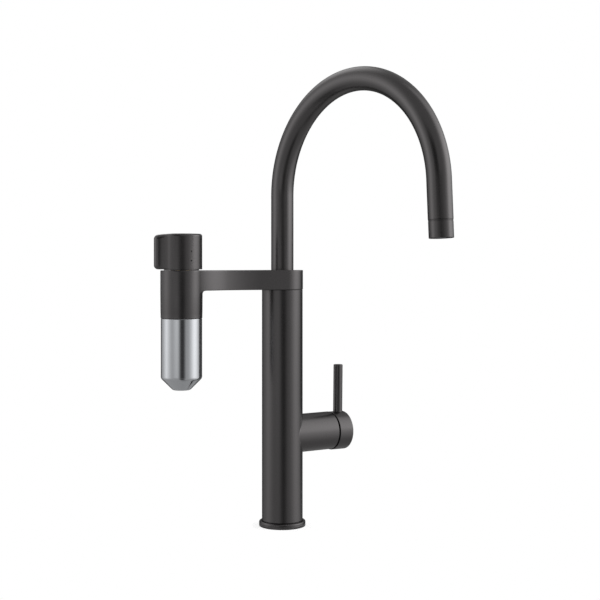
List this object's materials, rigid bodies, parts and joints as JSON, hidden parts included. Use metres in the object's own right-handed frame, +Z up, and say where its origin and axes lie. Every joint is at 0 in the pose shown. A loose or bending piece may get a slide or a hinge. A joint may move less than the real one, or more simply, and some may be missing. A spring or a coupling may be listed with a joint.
{
  "type": "filter kitchen mixer tap",
  "caption": "Upright single-lever kitchen mixer tap with a swivelling arch spout, a side lever, and a side arm carrying a filter cup with its own valve knob.",
  "frame": {"origin": "mouth of the central fixing stud's threaded hole, on the worktop at the column's axis", "axes": "+Z up along the column, +X along the lever's branch, -X along the filter arm, -Y towards the person at the sink"},
  "size_m": [0.2078, 0.2439, 0.4439],
  "materials": {
    "black_finish": "satin black physical-vapour coating over finely brushed metal",
    "steel_cup": "brushed stainless steel",
    "steel_parts": "plain stainless steel",
    "brass": "machined low-lead brass",
    "copper_tube": "drawn copper tube",
    "ceramic": "lapped alumina",
    "rubber": "moulded sealing rubber",
    "white_plastic": "moulded acetal and polyethylene",
    "grey_plastic": "moulded grey acetal",
    "carbon": "sintered activated carbon",
    "membrane": "hollow-fibre membrane bundle"
  },
  "bodies": {
    "root": {"base_ring": "black_finish", "base_seal": "rubber", "base_insert": "brass", "column_shell": "black_finish", "hot_inlet_pipe": "copper_tube", "cold_inlet_pipe": "copper_tube", "mixer_core": "brass", "mixed_water_riser": "copper_tube", "raw_water_riser": "copper_tube", "cartridge_seals": "rubber", "cartridge_body": "white_plastic", "fixed_ceramic_disc": "ceramic", "cartridge_nut": "brass", "swivel_socket": "brass", "filtered_water_nozzle": "brass", "swivel_washer": "white_plastic", "swivel_stop_screw": "steel_parts", "swivel_clip": "steel_parts", "arm_gasket": "rubber", "filter_arm": "black_finish", "arm_lock_screw": "steel_parts", "raw_arm_tube": "white_plastic", "filtered_arm_tube": "white_plastic", "filter_head": "grey_plastic", "filter_valve_body": "brass", "valve_fixed_disc": "ceramic"},
    "lever_turret": {"cartridge_turret": "grey_plastic", "lever_pivot_pin": "steel_parts", "dome_cover": "black_finish"},
    "lever": {"lever_cap": "black_finish", "lever_pin": "black_finish", "lever_grub_screw": "steel_parts", "cartridge_stem": "steel_parts"},
    "mixing_disc": {"mixing_disc": "ceramic"},
    "spout": {"spout_collar": "brass", "spout_o_rings": "rubber", "spout_tube": "black_finish", "filtered_water_hose": "white_plastic", "aerator_sleeve": "black_finish", "aerator_seal": "rubber", "aerator_insert": "grey_plastic"},
    "knob": {"filter_knob": "black_finish", "knob_screw": "steel_parts", "valve_spindle": "brass", "valve_moving_disc": "ceramic"},
    "capsule": {"capsule_cap": "white_plastic", "capsule_o_rings": "rubber", "capsule_shell": "white_plastic", "carbon_block": "carbon", "membrane_bundle": "membrane"},
    "cup": {"steel_cup": "steel_cup", "cup_thread_ring": "white_plastic", "cup_seal": "rubber"}
  },
  "joints": [
    {"name": "lever_swing", "type": "hinge", "parent": "root", "child": "lever_turret", "pos_m": [0.0395, 0, 0.0903], "axis": [1, 0, 0], "range_deg": [-45, 45]},
    {"name": "lever_tilt", "type": "hinge", "parent": "lever_turret", "child": "lever", "pos_m": [0.0395, 0, 0.0903], "axis": [0, 1, 0], "range_deg": [0, 20]},
    {"name": "mixing_disc_slide", "type": "slide", "parent": "lever_turret", "child": "mixing_disc", "axis": [0, 0, 1], "range_m": [0, 0.0059]},
    {"name": "spout_swivel", "type": "hinge", "parent": "root", "child": "spout", "pos_m": [0, 0, 0.235], "axis": [0, 0, 1], "range_deg": [-82.4, 67.6]},
    {"name": "filter_knob_turn", "type": "hinge", "parent": "root", "child": "knob", "pos_m": [-0.1137, 0, 0.2555], "axis": [0, 0, 1], "range_deg": [0, 90]},
    {"name": "filter_capsule_slide", "type": "slide", "parent": "root", "child": "capsule", "axis": [0, 0, -1], "range_m": [0, 0.06]},
    {"name": "filter_cup_turn", "type": "hinge", "parent": "capsule", "child": "cup", "pos_m": [-0.1137, 0, 0.2083], "axis": [0, 0, 1], "range_deg": [0, 90]}
  ],
  "couplings": [
    {"joint": "mixing_disc_slide", "follows": "lever_tilt", "m_per_rad": 0.0169}
  ]
}
